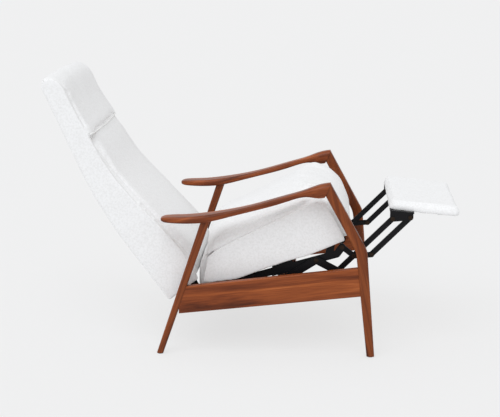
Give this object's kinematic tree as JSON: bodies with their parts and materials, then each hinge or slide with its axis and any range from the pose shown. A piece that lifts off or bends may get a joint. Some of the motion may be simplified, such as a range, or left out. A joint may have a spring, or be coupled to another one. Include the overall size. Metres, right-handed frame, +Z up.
{
  "type": "reclining lounge chair",
  "caption": "Wood-framed reclining lounge chair with upholstered seat and back and a footrest on a steel folding linkage that comes out as the seat tips.",
  "frame": {"origin": "floor, under the middle of the chair's box in the reclined pose", "axes": "+X to the front where the footrest comes out, +Y to the sitter's left, +Z up"},
  "size_m": [1.347, 0.688, 0.8967],
  "materials": {
    "walnut": "oiled walnut, satin",
    "upholstery": "off-white nubby weave",
    "webbing": "woven elastic strap",
    "inner_wood": "plain sawn hardwood and plywood",
    "black_steel": "black enamel, satin",
    "pin_steel": "dulled rivet steel",
    "glide_plastic": "dark nylon"
  },
  "bodies": {
    "frame": {"left_front_leg": "walnut", "right_front_leg": "walnut", "left_rear_leg": "walnut", "right_rear_leg": "walnut", "left_armrest": "walnut", "right_armrest": "walnut", "left_side_rail": "walnut", "right_side_rail": "walnut", "left_mechanism_base": "black_steel", "right_mechanism_base": "black_steel", "front_stretcher": "walnut", "rear_stretcher": "walnut", "foot_glides": "glide_plastic", "base_screws": "pin_steel", "seat_pivot_pins": "pin_steel", "lever_studs": "pin_steel"},
    "seat": {"left_seat_rail": "black_steel", "right_seat_rail": "black_steel", "left_seat_side": "upholstery", "right_seat_side": "upholstery", "seat_cross_tube": "black_steel", "seat_screws": "pin_steel", "seat_front_rail": "inner_wood", "seat_rear_rail": "inner_wood", "seat_front_pad": "upholstery", "seat_cushion": "upholstery", "seat_webbing": "webbing", "back_hinge_pins": "pin_steel", "lower_link_pins": "pin_steel", "lever_pins": "pin_steel"},
    "back": {"left_back_side": "upholstery", "right_back_side": "upholstery", "left_back_bracket": "black_steel", "right_back_bracket": "black_steel", "back_cushion": "upholstery", "head_pillow": "upholstery", "back_rear_cover": "upholstery", "back_top_rail": "inner_wood", "back_lower_rail": "inner_wood", "back_webbing": "webbing", "bracket_screws": "pin_steel"},
    "lower_links": {"left_lower_link": "black_steel", "right_lower_link": "black_steel", "link_pins": "pin_steel"},
    "long_links": {"left_long_link": "black_steel", "right_long_link": "black_steel", "tail_pins": "pin_steel"},
    "front_links": {"left_front_link": "black_steel", "right_front_link": "black_steel"},
    "footrest": {"left_footrest_bracket": "black_steel", "right_footrest_bracket": "black_steel", "footrest_board": "inner_wood", "footrest_pad": "upholstery", "footrest_pins": "pin_steel", "footrest_screws": "pin_steel"},
    "drive_levers": {"left_drive_lever": "black_steel", "right_drive_lever": "black_steel"}
  },
  "joints": [
    {"name": "seat_tilt", "type": "hinge", "parent": "frame", "child": "seat", "pos_m": [-0.1232, 0, 0.207], "axis": [0, 1, 0], "range_deg": [0, 10]},
    {"name": "back_tilt", "type": "hinge", "parent": "seat", "child": "back", "pos_m": [-0.1752, 0, 0.19], "axis": [0, 1, 0], "range_deg": [0, 12]},
    {"name": "lower_link_fold", "type": "hinge", "parent": "seat", "child": "lower_links", "pos_m": [0.2928, 0, 0.347], "axis": [0, 1, 0], "range_deg": [0, 66]},
    {"name": "long_link_fold", "type": "hinge", "parent": "lower_links", "child": "long_links", "pos_m": [0.3318, 0, 0.317], "axis": [0, 1, 0], "range_deg": [-111, 0]},
    {"name": "front_link_fold", "type": "hinge", "parent": "lower_links", "child": "front_links", "pos_m": [0.3888, 0, 0.322], "axis": [0, 1, 0], "range_deg": [-111, 0]},
    {"name": "footrest_fold", "type": "hinge", "parent": "long_links", "child": "footrest", "pos_m": [0.4548, 0, 0.441], "axis": [0, 1, 0], "range_deg": [0, 111]},
    {"name": "lever_turn", "type": "hinge", "parent": "seat", "child": "drive_levers", "pos_m": [0.2098, 0, 0.305], "axis": [0, 1, 0], "range_deg": [0, 19.18]}
  ],
  "couplings": [
    {"joint": "lower_link_fold", "follows": "seat_tilt", "ratio": 6.6},
    {"joint": "long_link_fold", "follows": "seat_tilt", "ratio": -11.1},
    {"joint": "front_link_fold", "follows": "seat_tilt", "ratio": -11.1},
    {"joint": "footrest_fold", "follows": "seat_tilt", "ratio": 11.1},
    {"joint": "lever_turn", "follows": "seat_tilt", "ratio": 1.918}
  ]
}
